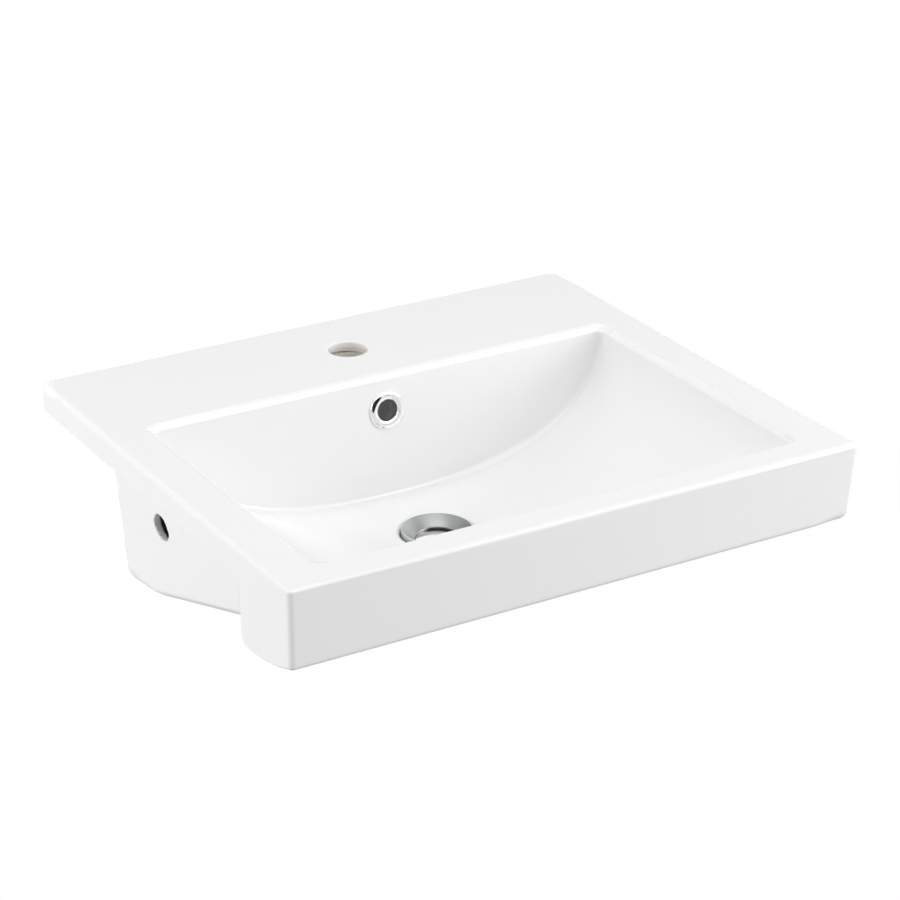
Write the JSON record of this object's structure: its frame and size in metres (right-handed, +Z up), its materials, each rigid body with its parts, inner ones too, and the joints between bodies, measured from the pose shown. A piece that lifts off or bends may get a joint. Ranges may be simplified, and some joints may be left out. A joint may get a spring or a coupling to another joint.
{
  "type": "semi-recessed washbasin",
  "caption": "Rectangular ceramic washbasin with a flat rim, tap hole, overflow and push-open waste; the rim rests on a bench and the deeper front apron hangs before it.",
  "frame": {"origin": "centre of the flat back face of the rim, at half the rim's thickness; this face stands against the wall", "axes": "+X to the right seen from the user, -Y towards the user, +Y into the wall, +Z up"},
  "size_m": [0.532, 0.47, 0.1965],
  "materials": {
    "glazed_ceramic": "glossy white glaze on vitreous china",
    "chrome": "polished chrome plate on brass",
    "brass": "turned, bare",
    "spring_steel": "drawn stainless wire",
    "clip_plastic": "natural white acetal",
    "rubber": "matt black rubber"
  },
  "bodies": {
    "basin_body": {"basin": "glazed_ceramic", "overflow_ring": "chrome", "overflow_clip": "clip_plastic", "overflow_seal": "rubber", "waste_body": "chrome", "flange_gasket": "rubber", "latch_sleeve": "brass", "sleeve_collar": "brass", "sleeve_nut": "brass", "latch_spring": "spring_steel", "cone_washer": "rubber", "slip_washer": "clip_plastic", "backnut": "brass"},
    "plug": {"plug_stem": "brass", "plug_cap": "chrome", "plug_seal": "rubber"},
    "rotor": {"latch_rotor": "clip_plastic"}
  },
  "joints": [
    {"name": "plug_lift", "type": "slide", "parent": "basin_body", "child": "plug", "axis": [0, 0, 1], "range_m": [-0.001, 0.009], "deforming": ["latch_spring"]},
    {"name": "rotor_turn", "type": "hinge", "parent": "plug", "child": "rotor", "pos_m": [0, -0.232, -0.133], "axis": [0, 0, 1], "range_deg": [-7, 61]}
  ],
  "couplings": [
    {"joint": "rotor_turn", "follows": "plug_lift", "rad_per_m": 116.36}
  ]
}
